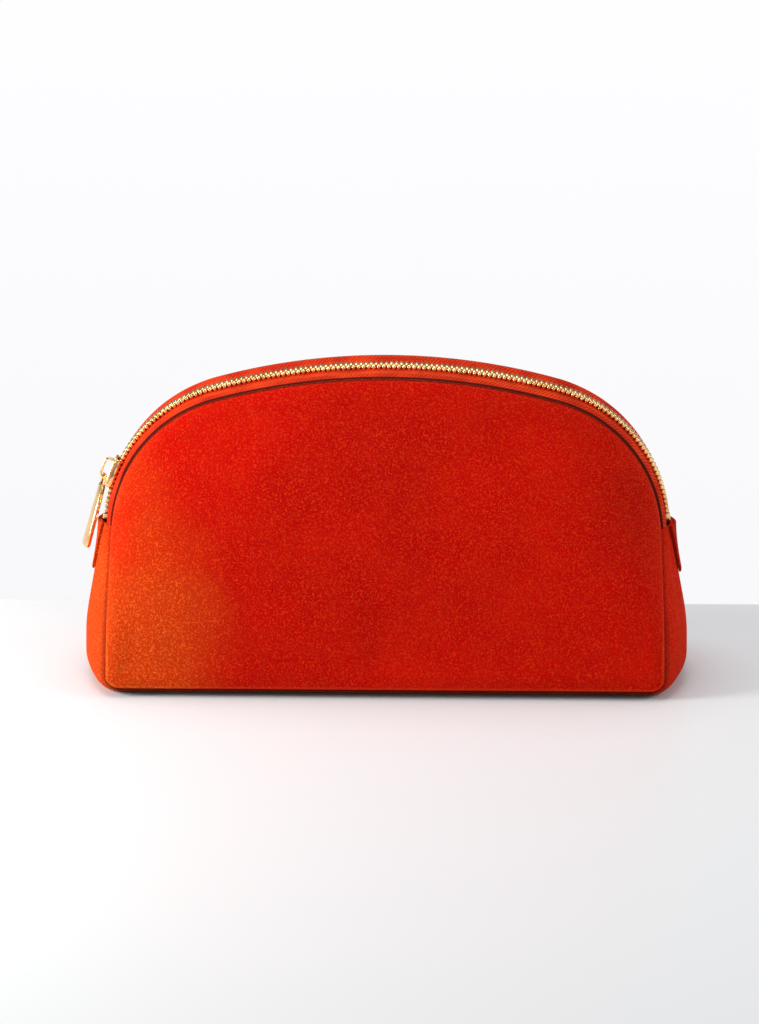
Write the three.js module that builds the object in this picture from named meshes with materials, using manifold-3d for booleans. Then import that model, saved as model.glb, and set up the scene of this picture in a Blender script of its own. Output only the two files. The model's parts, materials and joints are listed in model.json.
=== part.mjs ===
// A velvet half-moon makeup bag, closed by a curved metal zip, in millimetres.
// X runs to the right, Y to the back and Z up. The origin is the middle of the underside.
// The front is at -Y.
import * as THREE from "three";
import { mergeVertices } from "three/addons/utils/BufferGeometryUtils.js";
import Module from "manifold-3d";

const wasm = await Module();
wasm.setup();

// Driving dimensions.
const zipTop = 125; // height of the zip's centre line at the middle of the bag
const zipHalfWidth = 112.7; // from the middle of the bag to the centre line at its sides
const crownRadius = 260; // the zip's flat middle arc
const shoulderRadius = 59.5; // the arc on each side of it
const zipEndAngle = THREE.MathUtils.degToRad(86); // from upright to the zip's two ends
const zipHalfDepth = 13; // from the zip's centre line to the top seams
const seamDropTop = 2.8; // how far the top seams lie below the zip in the middle
const seamDropSide = 3.6; // and at the sides
const depthCurve = 1.5; // how the panels curve in from the bottom seams to the top ones
const backRimRise = 4.6; // how much higher the back seam stands than the front one, in the middle
const rimFade = 0.75; // how quickly that dies away towards the zip's ends
const baseHalfDepth = 42; // from the middle to the bottom seams
const baseHalfWidth = 110.2; // to the corners of the front and back panels
const seamLift = 3.2; // height of the bottom seams above the surface that the bag rests on
const panelCorner = 6; // radius of the front and back panels' bottom corners
const panelPuff = 3; // how far the padded panels swell in their middle
const sideBulgeTop = 5.8; // how far the side gussets swell past their seams, under the zip
const sideBulgeBase = 11.5; // and near the base
const bulgeCurve = 2.2; // how full each gusset stays towards its side seams
const sideBulgeRun = 45; // the height over which the bulge grows
const sideCorner = 10.5; // radius under the middle of each side gusset
const flatHalfDepth = 31; // half of the flat strip that the base rests on

// Layers, from the outside in.
const velvet = 1.2;
const foam = 3.0;
const lining = 0.6;
const baseBoard = 1.5;
const tapeThickness = 0.8;
const layerGap = 0.3; // between layers, and between pieces sewn edge to edge
const padGap = 0.5; // round the padding, which lies a little loose
const seamGap = 0.8; // between the inside of one panel and the edge of the next
const sideLiningAcross = [0.16, 0.84]; // the shares of a gusset's width that its lining covers
const sideLiningTop = 0.92; // and the share of its height
const baseAlong = [0.05, 0.95]; // the shares of the base's length that its board and lining cover
const baseAcross = [0.12, 0.88]; // and of its depth
const foamInset = 8.5; // the padding and the lining stay this far inside the seams

// Zip.
const toothPitch = 2.0;
const toothThickness = 2.0;
const toothRoot = 2.4; // from the centre line to the outside of a row
const toothValley = 1.3;
const toothTip = 0.6; // how far a tooth reaches past the centre line
const tapeEdge = toothRoot + layerGap;
const tapeLevel = -0.9; // the tape's upper face beside the teeth
const topStopLength = 2;
const bottomStopLength = 3;
const stopHalfThickness = 1.2;

// Slider and pull.
const sliderAngle = THREE.MathUtils.degToRad(67.6); // where the slider is parked, from upright
const sliderLength = 12;
const sliderNarrow = 4.2; // half width at the closed end
const sliderWide = 5.9; // half width where the rows come apart
const sliderPlate = 1.0;
const sliderWall = 1.0;
const toothClearance = 0.5;
const tapeClearance = 0.35;
const tapeDip = 0.35; // how far the tape falls between the teeth and the slider's edges
const rowSpread = 2.0; // how far each row moves aside round the slider's post
const spreadDelay = 1.5; // the rows begin to part this far inside the slider's closed end
const postHalfWidth = 0.7;
const postLength = 2.0;
const postInset = 1.5; // from the slider's open end to its post
const bridgeInset = 1.4; // from the slider's ends to the bridge's feet
const bridgeHalfWidth = 0.8;
const bridgeThickness = 1.0;
const bridgeCorner = 1.6; // outside radius of its two bends
const bridgeRise = 2.7; // the clear height under the bridge
const eyeBar = 0.8; // the bar of the pull that passes under the bridge
const eyeArm = 1.0;
const eyeClearance = 0.4; // between that bar and the bridge's foot
const eyeLift = 0.1; // how far above the middle of the space under the bridge the bar hangs
const eyeHalfWidth = 2.3;
const eyeReach = 0.6; // how far the pull's body clears the slider's open end
const pullLength = 26.8;
const pullTop = 2.2; // half width of the body at the eye
const pullEnd = 3.3; // half width near its end
const pullBevel = 0.4;
const pullCorner = 1.8; // radius of its two bottom corners
const pullThickness = 1.8;
const pullTilt = THREE.MathUtils.degToRad(16);
const pullYaw = THREE.MathUtils.degToRad(22);

// End tabs.
const tabHalfWidth = 8.5;
const tabLength = 18.5;
const tabThickness = 1.0;
const tabGap = 0.5; // between a tab and the gusset under it

// The zip's centre line: one wide arc between two shoulder arcs.
const joinAngle = Math.asin((zipHalfWidth - shoulderRadius) / (crownRadius - shoulderRadius));
const crownCentreZ = zipTop - crownRadius;
const shoulderX = zipHalfWidth - shoulderRadius;
const shoulderZ = crownCentreZ + (crownRadius - shoulderRadius) * Math.cos(joinAngle);
const crownLength = crownRadius * joinAngle;
const zipHalfLength = crownLength + shoulderRadius * (zipEndAngle - joinAngle);
const sliderAlong = -(crownLength + shoulderRadius * (sliderAngle - joinAngle));

const smooth = (t) => THREE.MathUtils.smoothstep(t, 0, 1);

// The angle from upright at a length along the zip, which is positive to the right of the middle.
function zipAngle(along) {
  const length = Math.abs(along);
  const onCrown = length < crownLength;
  const angle = onCrown ? length / crownRadius : joinAngle + (length - crownLength) / shoulderRadius;
  return Math.sign(along) * angle;
}

// The point at a length along the zip, at depth y, raised outwards from the centre line.
function onZip(along, y, out) {
  const angle = zipAngle(along);
  const onCrown = Math.abs(along) < crownLength;
  const radius = (onCrown ? crownRadius : shoulderRadius) + out;
  const centreX = onCrown ? 0 : Math.sign(along) * shoulderX;
  const centreZ = onCrown ? crownCentreZ : shoulderZ;
  return new THREE.Vector3(centreX + radius * Math.sin(angle), y, centreZ + radius * Math.cos(angle));
}

// How far the top seam of the front (side -1) or the back (side 1) lies below the zip.
function seamDrop(along, side) {
  const angle = zipAngle(along);
  const rise = side > 0 ? backRimRise * Math.cos(angle) ** rimFade : 0;
  return seamDropTop + (seamDropSide - seamDropTop) * Math.sin(angle) ** 2 - rise;
}

// The rows part below the slider, towards the left end.
function spread(along) {
  const half = sliderLength / 2;
  return rowSpread * smooth((sliderAlong + half - spreadDelay - along) / half);
}

// Moves a geometry's vertices and leaves only their positions.
function reshape(geometry, move) {
  const at = geometry.attributes.position;
  for (let i = 0; i < at.count; i++) {
    const p = move(new THREE.Vector3().fromBufferAttribute(at, i), i);
    at.setXYZ(i, p.x, p.y, p.z);
  }
  geometry.deleteAttribute("normal");
  geometry.deleteAttribute("uv");
  return mergeVertices(geometry, 1e-4);
}

// A closed sheet of cloth: a grid laid on surface(u, v), from one distance off it to another.
// The surface faces outwards where u crosses v by the right-hand rule.
// Its normal is taken just inside the edges, where a rounded corner may turn straight down.
function sheet(surface, columns, rows, near, far) {
  const step = 1e-4;
  const inset = 4e-3;
  const normal = (edgeU, edgeV) => {
    const u = THREE.MathUtils.clamp(edgeU, inset, 1 - inset);
    const v = THREE.MathUtils.clamp(edgeV, inset, 1 - inset);
    const alongU = surface(u + step, v).sub(surface(u - step, v));
    const alongV = surface(u, v + step).sub(surface(u, v - step));
    return alongU.cross(alongV).normalize();
  };
  return reshape(new THREE.BoxGeometry(1, 1, 1, columns, rows, 1), (p) => {
    const [u, v] = [p.x + 0.5, p.y + 0.5];
    const off = THREE.MathUtils.lerp(near, far, p.z + 0.5);
    return surface(u, v).addScaledVector(normal(u, v), off);
  });
}

// Part of a surface, between two values of u and of v.
function patch(surface, [uFrom, uTo], [vFrom, vTo]) {
  return (u, v) => surface(THREE.MathUtils.lerp(uFrom, uTo, u), THREE.MathUtils.lerp(vFrom, vTo, v));
}

// A block that follows the zip, between two lengths along it; its sides may change along it.
function zipBlock([from, to], sides, [low, high], segments) {
  return reshape(new THREE.BoxGeometry(1, 1, 1, segments, 1, 1), (p) => {
    const share = p.x + 0.5;
    const along = THREE.MathUtils.lerp(from, to, share);
    const [left, right] = sides(along, Math.round(share * segments));
    return onZip(along, p.y < 0 ? left : right, p.z < 0 ? low : high);
  });
}

function solid(geometry) {
  return new wasm.Manifold(
    new wasm.Mesh({
      numProp: 3,
      vertProperties: geometry.attributes.position.array,
      triVerts: new Uint32Array(geometry.index.array),
    }),
  );
}

// Joins geometries into one body.
function join(...geometries) {
  const made = geometries.map(solid).reduce((sum, next) => sum.add(next)).getMesh();
  const geometry = new THREE.BufferGeometry();
  geometry.setAttribute("position", new THREE.BufferAttribute(new Float32Array(made.vertProperties), 3));
  geometry.setIndex(new THREE.BufferAttribute(new Uint32Array(made.triVerts), 1));
  return geometry;
}

const material = (color, roughness, metalness) =>
  new THREE.MeshStandardMaterial({ color, roughness, metalness });
const velvetCloth = material(0xa3200c, 0.9, 0);
const wovenTape = material(0xb5451f, 0.85, 0);
const gold = material(0xd8b585, 0.25, 1);
const foamSheet = material(0xece6da, 0.95, 0);
const liningCloth = material(0xd9a48a, 0.7, 0);
const board = material(0xd8d2c4, 0.8, 0);

const bag = new THREE.Group();
bag.name = "makeup_bag";

function add(name, geometry, look) {
  const mesh = new THREE.Mesh(geometry, look);
  mesh.name = name;
  bag.add(mesh);
  return mesh;
}

// Body shape. share is 0 at the bottom seams and 1 at the zip's ends or the top seams.
const sideSeamTop = onZip(zipHalfLength, 0, -seamDrop(zipHalfLength, -1));
const halfDepth = (share) => baseHalfDepth - (baseHalfDepth - zipHalfDepth) * share ** depthCurve;
const baseRise = (y) => {
  const past = Math.max(Math.abs(y) - flatHalfDepth, 0);
  return seamLift * (past / (baseHalfDepth - flatHalfDepth)) ** 2;
};
const sideShare = (z) => THREE.MathUtils.clamp((z - seamLift) / (sideSeamTop.z - seamLift), 0, 1);
const sideSeamX = (z) => THREE.MathUtils.lerp(baseHalfWidth, sideSeamTop.x, sideShare(z));

// The outside of the front panel (side -1) or the back panel (side 1).
function panelSkin(side) {
  return (u, v) => {
    const across = side * (1 - 2 * u);
    const along = across * zipHalfLength;
    const top = onZip(along, 0, -seamDrop(along, side));
    const x = (baseHalfWidth * top.x) / sideSeamTop.x;
    const intoCorner = Math.max(Math.abs(x) - (baseHalfWidth - panelCorner), 0);
    const cornerRise = panelCorner - Math.sqrt(Math.max(panelCorner ** 2 - intoCorner ** 2, 0));
    const z = THREE.MathUtils.lerp(seamLift + cornerRise, top.z, v);
    const share = (z - seamLift) / (top.z - seamLift);
    const puff = panelPuff * Math.sin(Math.PI * v) * (1 - across ** 4);
    return new THREE.Vector3(THREE.MathUtils.lerp(x, top.x, share), side * (halfDepth(share) + puff), z);
  };
}

// How far out the side gusset reaches at a height, and at a share of its depth from -1 to 1.
function gussetX(z, across) {
  const bulge = sideBulgeTop + (sideBulgeBase - sideBulgeTop) * smooth((sideSeamTop.z - z) / sideBulgeRun);
  return sideSeamX(z) + bulge * (1 - Math.abs(across) ** bulgeCurve);
}
const gussetCorner = (across) => panelCorner + (sideCorner - panelCorner) * (1 - across ** 2);
const gussetEdge = velvet + seamGap; // the gusset's edges stop inside the front and back panels
const baseEnd = (across) => {
  const y = across * (baseHalfDepth - gussetEdge);
  return gussetX(baseRise(y) + gussetCorner(across), across) - gussetCorner(across);
};

// The outside of the left (side -1) or right (side 1) gusset. v runs up it, first round its bottom corner.
const cornerShare = 0.25;
const gussetTop = sideSeamTop.z - seamGap;
function gussetSkin(side) {
  return (u, v) => {
    const across = side * (2 * u - 1);
    const radius = gussetCorner(across);
    const floor = baseRise(across * (baseHalfDepth - gussetEdge));
    const turn = Math.min(v / cornerShare, 1) * (Math.PI / 2);
    const climb = Math.max((v - cornerShare) / (1 - cornerShare), 0);
    const cornerZ = floor + radius * (1 - Math.cos(turn));
    const z = THREE.MathUtils.lerp(cornerZ, gussetTop, climb);
    const x = gussetX(Math.max(z, floor + radius), across) - radius * (1 - Math.sin(turn));
    return new THREE.Vector3(side * x, across * (halfDepth(sideShare(z)) - gussetEdge), z);
  };
}

// The underside, facing down.
function baseSkin(u, v) {
  const across = 2 * v - 1;
  const y = across * (baseHalfDepth - gussetEdge);
  return new THREE.Vector3((1 - 2 * u) * (baseEnd(across) - layerGap), y, baseRise(y));
}

// The zip tape on the front (side -1) or back (side 1), flat beside the teeth and falling to the seam.
function tapeSkin(side) {
  return (u, v) => {
    const along = (2 * u - 1) * zipHalfLength;
    const inner = tapeEdge + spread(along);
    const outer = zipHalfDepth - velvet - seamGap;
    const reach = THREE.MathUtils.lerp(inner, outer, side * (v - 0.5) + 0.5);
    const fall = Math.max((reach - tapeEdge) / (zipHalfDepth - tapeEdge), 0) ** 2;
    return onZip(along, side * reach, tapeLevel - (seamDrop(along, side) + tapeLevel) * fall);
  };
}

// Panels, each with padding and a lining behind it.
const foamFrom = velvet + padGap;
const liningFrom = foamFrom + foam + padGap;
const insetU = foamInset / zipHalfLength; // the columns crowd together at the sides
const insetV = foamInset / (zipTop - seamLift);
for (const [name, side] of [["front", -1], ["back", 1]]) {
  const skin = panelSkin(side);
  const inside = patch(skin, [insetU, 1 - insetU], [insetV, 1 - insetV]);
  add(name + "_panel", sheet(skin, 22, 8, -velvet, 0), velvetCloth);
  add(name + "_foam", sheet(inside, 18, 6, -foamFrom - foam, -foamFrom), foamSheet);
  add(name + "_lining", sheet(inside, 18, 6, -liningFrom - lining, -liningFrom), liningCloth);
}

for (const [name, side] of [["left_side", -1], ["right_side", 1]]) {
  const skin = gussetSkin(side);
  const inside = patch(skin, sideLiningAcross, [cornerShare, sideLiningTop]);
  add(name + "_gusset", sheet(skin, 8, 8, -velvet, 0), velvetCloth);
  add(name + "_lining", sheet(inside, 6, 5, -velvet - layerGap - lining, -velvet - layerGap), liningCloth);
}

const boardFrom = velvet + layerGap;
const baseLiningFrom = boardFrom + baseBoard + layerGap;
const baseInside = patch(baseSkin, baseAlong, baseAcross);
add("base_panel", sheet(baseSkin, 8, 8, -velvet, 0), velvetCloth);
add("base_board", sheet(baseInside, 2, 4, -boardFrom - baseBoard, -boardFrom), board);
add("base_lining", sheet(baseInside, 2, 4, -baseLiningFrom - lining, -baseLiningFrom), liningCloth);

// Zip: each row is a saw-toothed strip, and the two rows mesh half a pitch apart.
const rowFrom = -zipHalfLength + topStopLength + 2 * layerGap;
const rowRoom = 2 * zipHalfLength - topStopLength - bottomStopLength - 4 * layerGap;
const toothCount = Math.floor(rowRoom / toothPitch);
const rowTo = rowFrom + toothCount * toothPitch;
for (const [name, side] of [["front", -1], ["back", 1]]) {
  const row = (along, station) => {
    const isTip = station % 2 === (side < 0 ? 0 : 1);
    const inner = side * (spread(along) + (isTip ? -toothTip : toothValley));
    const outer = side * (spread(along) + toothRoot);
    return [Math.min(inner, outer), Math.max(inner, outer)];
  };
  const halfTooth = toothThickness / 2;
  add(name + "_zip_tape", sheet(tapeSkin(side), 66, 3, -tapeThickness, 0), wovenTape);
  add(name + "_zip_teeth", zipBlock([rowFrom, rowTo], row, [-halfTooth, halfTooth], 2 * toothCount), gold);
  const stop = (along) => {
    const sides = [side * (spread(along) + toothRoot), side * (spread(along) + toothTip)];
    return sides.sort((a, b) => a - b);
  };
  const stopAt = [-zipHalfLength, -zipHalfLength + topStopLength];
  add(name + "_top_stop", zipBlock(stopAt, stop, [-halfTooth, stopHalfThickness], 2), gold);
}
const bottomStop = [rowTo + 2 * layerGap, rowTo + 2 * layerGap + bottomStopLength];
const stopSides = () => [-toothRoot, toothRoot];
add("bottom_stop", zipBlock(bottomStop, stopSides, [-stopHalfThickness, stopHalfThickness], 2), gold);

// Slider: two plates on a post, flanges that lead the rows, and a bridge for the pull.
const sliderHalf = sliderLength / 2;
const sliderWidth = (along) => {
  const wide = smooth((sliderAlong + sliderHalf - 1 - along) / (sliderHalf + 1));
  return sliderNarrow + (sliderWide - sliderNarrow) * wide;
};
const plateFrom = toothThickness / 2 + toothClearance;
const plateTo = plateFrom + sliderPlate;
const lowerTo = tapeLevel - tapeThickness - tapeClearance - tapeDip;
const lowerFrom = lowerTo - sliderPlate;
const sliderRun = [sliderAlong - sliderHalf, sliderAlong + sliderHalf];
const overlap = 0.2; // how far the slider's own pieces run into each other before they are joined
const plateSides = (along) => [-sliderWidth(along), sliderWidth(along)];
const flange = (side) => {
  const sides = (along) => {
    const edges = [side * sliderWidth(along), side * (sliderWidth(along) - sliderWall)];
    return edges.sort((a, b) => a - b);
  };
  return zipBlock(sliderRun, sides, [tapeLevel + tapeClearance, plateFrom + overlap], 8);
};
const postSides = () => [-postHalfWidth, postHalfWidth];
const postFrom = sliderAlong - sliderHalf + postInset;
const postRun = [postFrom, postFrom + postLength];

// The bridge's outline lies in the plane of the zip: lengths along it, and heights off it.
const bridgeHalfLength = sliderHalf - bridgeInset;
function bridge() {
  const outer = plateTo + bridgeRise + bridgeThickness;
  const foot = plateTo - overlap;
  const outline = new THREE.Shape();
  outline.moveTo(-bridgeHalfLength, foot);
  outline.lineTo(bridgeHalfLength, foot);
  outline.lineTo(bridgeHalfLength, outer - bridgeCorner);
  outline.quadraticCurveTo(bridgeHalfLength, outer, bridgeHalfLength - bridgeCorner, outer);
  outline.lineTo(bridgeCorner - bridgeHalfLength, outer);
  outline.quadraticCurveTo(-bridgeHalfLength, outer, -bridgeHalfLength, outer - bridgeCorner);
  const innerHalf = bridgeHalfLength - bridgeThickness;
  const inner = plateTo + bridgeRise;
  const innerCorner = bridgeCorner - bridgeThickness;
  const under = new THREE.Path();
  under.moveTo(-innerHalf, plateTo);
  under.lineTo(-innerHalf, inner - innerCorner);
  under.quadraticCurveTo(-innerHalf, inner, innerCorner - innerHalf, inner);
  under.lineTo(innerHalf - innerCorner, inner);
  under.quadraticCurveTo(innerHalf, inner, innerHalf, inner - innerCorner);
  under.lineTo(innerHalf, plateTo);
  outline.holes.push(under);
  const depth = 2 * bridgeHalfWidth;
  const block = new THREE.ExtrudeGeometry(outline, { depth, bevelEnabled: false, curveSegments: 3 });
  return reshape(block, (p) => onZip(sliderAlong + p.x, bridgeHalfWidth - p.z, p.y));
}
const sliderBody = join(
  zipBlock(sliderRun, plateSides, [plateFrom, plateTo], 8),
  zipBlock(sliderRun, plateSides, [lowerFrom, lowerTo], 8),
  flange(-1),
  flange(1),
  zipBlock(postRun, postSides, [lowerTo - overlap, plateFrom + overlap], 1),
  bridge(),
);
add("slider_body", sliderBody, gold);

const eyeAlong = -bridgeHalfLength + bridgeThickness + eyeBar / 2 + eyeClearance;
const eyeOut = plateTo + bridgeRise / 2 + eyeLift;
const eyeLength = sliderHalf + eyeAlong + eyeReach; // from the bar to the pull's body

// Pull: a flat bar with a rounded end, hung by its eye. Its own origin is the middle of the eye's bar.
function pullBody() {
  const neck = -eyeLength;
  const tip = neck - pullLength;
  const outline = new THREE.Shape();
  outline.moveTo(-pullTop, neck);
  const inward = pullEnd - pullCorner;
  outline.lineTo(-pullEnd, tip + pullCorner);
  outline.absarc(-inward, tip + pullCorner, pullCorner, Math.PI, 1.5 * Math.PI, false);
  outline.absarc(inward, tip + pullCorner, pullCorner, 1.5 * Math.PI, 2 * Math.PI, false);
  outline.lineTo(pullTop, neck);
  const edge = { bevelThickness: pullBevel, bevelSize: pullBevel, bevelOffset: -pullBevel };
  const bevel = { ...edge, bevelSegments: 1 };
  const depth = pullThickness - 2 * pullBevel;
  const plate = new THREE.ExtrudeGeometry(outline, { depth, ...bevel, curveSegments: 12 });
  return reshape(plate, (p) => new THREE.Vector3(p.z - depth / 2, p.x, p.y));
}
function pullEye() {
  const low = -eyeLength - 2 * overlap;
  const armHalf = eyeHalfWidth - eyeArm;
  const outline = new THREE.Shape();
  outline.moveTo(-eyeHalfWidth, low);
  outline.lineTo(eyeHalfWidth, low);
  outline.lineTo(eyeHalfWidth, eyeBar / 2);
  outline.lineTo(-eyeHalfWidth, eyeBar / 2);
  const hole = new THREE.Path();
  hole.moveTo(-armHalf, -eyeLength);
  hole.lineTo(-armHalf, -eyeBar / 2);
  hole.lineTo(armHalf, -eyeBar / 2);
  hole.lineTo(armHalf, -eyeLength);
  outline.holes.push(hole);
  const frame = new THREE.ExtrudeGeometry(outline, { depth: eyeBar, bevelEnabled: false });
  return reshape(frame, (p) => new THREE.Vector3(p.z - eyeBar / 2, p.x, p.y));
}
const pull = add("zip_pull", join(pullBody(), pullEye()), gold);
pull.position.copy(onZip(sliderAlong + eyeAlong, 0, eyeOut));
pull.rotation.set(0, pullTilt, pullYaw);

// End tabs: folded strips sewn in at the zip's ends, lying on the side gussets.
function tabSkin(side) {
  const skin = gussetSkin(side);
  const tabTop = 1;
  const tabBottom = 1 - ((1 - cornerShare) * tabLength) / (gussetTop - sideCorner);
  return (u, v) => {
    const height = THREE.MathUtils.lerp(tabBottom, tabTop, v);
    const wide = Math.abs(skin(1, height).y);
    const share = (tabHalfWidth / wide) * (u - 0.5) + 0.5;
    return skin(share, height);
  };
}
add("left_end_tab", sheet(tabSkin(-1), 8, 5, tabGap, tabGap + tabThickness), velvetCloth);
add("right_end_tab", sheet(tabSkin(1), 8, 5, tabGap, tabGap + tabThickness), velvetCloth);

export default bag;
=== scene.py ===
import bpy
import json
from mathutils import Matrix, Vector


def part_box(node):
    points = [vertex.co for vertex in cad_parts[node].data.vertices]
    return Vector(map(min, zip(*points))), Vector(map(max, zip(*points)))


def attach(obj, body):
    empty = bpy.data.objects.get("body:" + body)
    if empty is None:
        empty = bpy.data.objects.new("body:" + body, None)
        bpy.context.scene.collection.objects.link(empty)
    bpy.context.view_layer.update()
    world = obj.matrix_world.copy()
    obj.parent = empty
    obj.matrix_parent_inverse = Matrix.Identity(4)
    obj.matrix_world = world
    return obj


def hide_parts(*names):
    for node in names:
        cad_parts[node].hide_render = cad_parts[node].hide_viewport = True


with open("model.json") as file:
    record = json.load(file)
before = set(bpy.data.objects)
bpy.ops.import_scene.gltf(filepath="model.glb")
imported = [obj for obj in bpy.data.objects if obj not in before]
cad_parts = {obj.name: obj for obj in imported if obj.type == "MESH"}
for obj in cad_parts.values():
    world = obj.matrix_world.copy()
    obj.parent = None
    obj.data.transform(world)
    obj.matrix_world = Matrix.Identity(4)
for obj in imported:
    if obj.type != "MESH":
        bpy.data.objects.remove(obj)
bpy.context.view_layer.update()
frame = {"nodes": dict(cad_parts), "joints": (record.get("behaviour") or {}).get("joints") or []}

import json
import math

import bmesh
import bpy
from mathutils import Matrix, Vector, noise

print("velvet makeup bag: frame loaded")
mm = 0.001

toothHalf = 1.0 * mm  # half the height of a tooth
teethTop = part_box("front_zip_teeth")[1]
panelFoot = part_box("front_panel")[0]

# The bag's body, in metres. Its height, its depth and the lift of its seams come from the frame.
body = {
    "zipTop": teethTop.z - toothHalf,
    "zipHalfWidth": 112.7 * mm,
    "crownRadius": 260 * mm,
    "shoulderRadius": 59.5 * mm,
    "zipEndAngle": math.radians(86),
    "zipHalfDepth": 13 * mm,
    "seamDropTop": 2.8 * mm,
    "seamDropSide": 3.6 * mm,
    "backRimRise": 4.6 * mm,
    "rimFade": 0.75,
    "baseHalfDepth": -panelFoot.y,
    "baseHalfWidth": 110.2 * mm,
    "seamLift": panelFoot.z,
    "depthCurve": 1.5,
    "panelCorner": 6 * mm,
    "panelPuff": 3 * mm,
    "sideBulgeTop": 5.8 * mm,
    "sideBulgeBase": 11.5 * mm,
    "sideBulgeRun": 45 * mm,
    "bulgeCurve": 2.2,
    "sideCorner": 10.5 * mm,
    "flatHalfDepth": 31 * mm,
    "velvet": 1.2 * mm,
}

# The zip's centre line: a wide arc over the crown between two shoulder arcs
shoulderX = body["zipHalfWidth"] - body["shoulderRadius"]
joinAngle = math.asin(shoulderX / (body["crownRadius"] - body["shoulderRadius"]))
crownCentreZ = body["zipTop"] - body["crownRadius"]
shoulderZ = crownCentreZ + (body["crownRadius"] - body["shoulderRadius"]) * math.cos(joinAngle)
crownLength = body["crownRadius"] * joinAngle
zipHalfLength = crownLength + body["shoulderRadius"] * (body["zipEndAngle"] - joinAngle)


def lerp(a, b, t):
    return a + (b - a) * t


def clamp(t, low=0.0, high=1.0):
    return min(max(t, low), high)


def smooth(t):
    t = clamp(t)
    return t * t * (3 - 2 * t)


def zipAngle(along):  # from upright, at a length along the zip from the middle of the bag
    length = abs(along)
    if length < crownLength:
        angle = length / body["crownRadius"]
    else:
        angle = joinAngle + (length - crownLength) / body["shoulderRadius"]
    return math.copysign(angle, along)


def onZip(along, y, out):  # a point beside the zip's centre line, out is away from the bag
    angle = zipAngle(along)
    onCrown = abs(along) < crownLength
    radius = (body["crownRadius"] if onCrown else body["shoulderRadius"]) + out
    centreX = 0 if onCrown else math.copysign(shoulderX, along)
    centreZ = crownCentreZ if onCrown else shoulderZ
    return Vector((centreX + radius * math.sin(angle), y, centreZ + radius * math.cos(angle)))


def seamDrop(along, side):  # how far the top seam lies below the zip; the back one stands higher
    angle = zipAngle(along)
    rise = body["backRimRise"] * math.cos(angle) ** body["rimFade"] if side > 0 else 0
    return lerp(body["seamDropTop"], body["seamDropSide"], math.sin(angle) ** 2) - rise


slider = {
    "angle": math.radians(67.6),
    "length": 12 * mm,
    "narrow": 4.2 * mm,
    "wide": 5.9 * mm,
    "plateFrom": 1.5 * mm,
    "plateTo": 2.5 * mm,
    "lowerTo": -2.4 * mm,
    "lowerFrom": -3.4 * mm,
    "wall": 1.0 * mm,
    "spread": 2.0 * mm,
    "spreadDelay": 1.5 * mm,
    "bridgeHalfLength": 4.6 * mm,
    "bridgeHalfWidth": 0.8 * mm,
    "bridgeThickness": 1.0 * mm,
    "bridgeRise": 2.7 * mm,
}
sliderAlong = -(crownLength + body["shoulderRadius"] * (slider["angle"] - joinAngle))


def lean(along):  # the zip band leans forward over the crown
    return tape["lean"] * math.cos(zipAngle(along))


def spread(along):  # how far each row moves aside below the slider
    half = slider["length"] / 2
    return slider["spread"] * smooth((sliderAlong + half - slider["spreadDelay"] - along) / half)


seamTops = {side: onZip(zipHalfLength, 0, -seamDrop(zipHalfLength, side)) for side in (-1, 1)}
sideSeamTop = seamTops[-1]


def halfDepth(share):  # from the middle of the bag to its front, at a share of the way up
    narrower = body["baseHalfDepth"] - body["zipHalfDepth"]
    return body["baseHalfDepth"] - narrower * clamp(share) ** body["depthCurve"]


def baseRise(y):  # the underside curls up to the bottom seams
    past = max(abs(y) - body["flatHalfDepth"], 0)
    return body["seamLift"] * (past / (body["baseHalfDepth"] - body["flatHalfDepth"])) ** 2


def panelBottom(x):  # height of the bottom seam, with its rounded corners
    corner = body["panelCorner"]
    intoCorner = max(abs(x) - (body["baseHalfWidth"] - corner), 0)
    return body["seamLift"] + corner - math.sqrt(max(corner ** 2 - intoCorner ** 2, 0))


def panelSkin(side):  # outside of the front (side -1) or back (side 1) panel
    def point(u, v):
        across = side * (1 - 2 * u)
        along = across * zipHalfLength
        top = onZip(along, 0, -seamDrop(along, side))
        x = body["baseHalfWidth"] * clamp(top.x / seamTops[side].x, -1, 1)
        z = lerp(panelBottom(x), top.z, v)
        share = (z - body["seamLift"]) / (top.z - body["seamLift"])
        puff = body["panelPuff"] * math.sin(math.pi * v) * (1 - across ** 4)
        return Vector((lerp(x, top.x, share), side * (halfDepth(share) + puff), z))
    return point


def seamShare(z):  # 0 at the foot of the side seam, 1 at its top
    return clamp((z - body["seamLift"]) / (sideSeamTop.z - body["seamLift"]))


def sideSeamX(z, across):  # across is -1 at the front seam and 1 at the back one
    top = lerp(seamTops[-1].x, seamTops[1].x, max(across, 0) ** 4)
    return lerp(body["baseHalfWidth"], top, seamShare(z))


def gussetX(z, across):  # how far out the gusset reaches
    grow = smooth((sideSeamTop.z - z) / body["sideBulgeRun"])
    bulge = lerp(body["sideBulgeTop"], body["sideBulgeBase"], grow)
    return sideSeamX(z, across) + bulge * (1 - abs(across) ** body["bulgeCurve"])


def gussetCorner(across):  # radius of its bottom corner
    return lerp(body["sideCorner"], body["panelCorner"], across ** 2)


gussetEdge = 0.45 * mm  # how far its edges lie inside the panels
gussetTop = sideSeamTop.z - 0.4 * mm
baseOverlap = 0.3 * mm
cornerShare = 0.25  # of the cloth's length that turns round the bottom corner


def gussetSkin(side, edge=gussetEdge):  # v first turns round the corner and then climbs
    def point(u, v):
        across = side * (2 * u - 1)
        radius = gussetCorner(across)
        floor = baseRise(across * (body["baseHalfDepth"] - edge))
        turn = min(v / cornerShare, 1) * math.pi / 2
        climb = max((v - cornerShare) / (1 - cornerShare), 0)
        z = lerp(floor + radius * (1 - math.cos(turn)), gussetTop, climb)
        x = gussetX(max(z, floor + radius), across) - radius * (1 - math.sin(turn))
        return Vector((side * x, across * (halfDepth(seamShare(z)) - edge), z))
    return point


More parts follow.
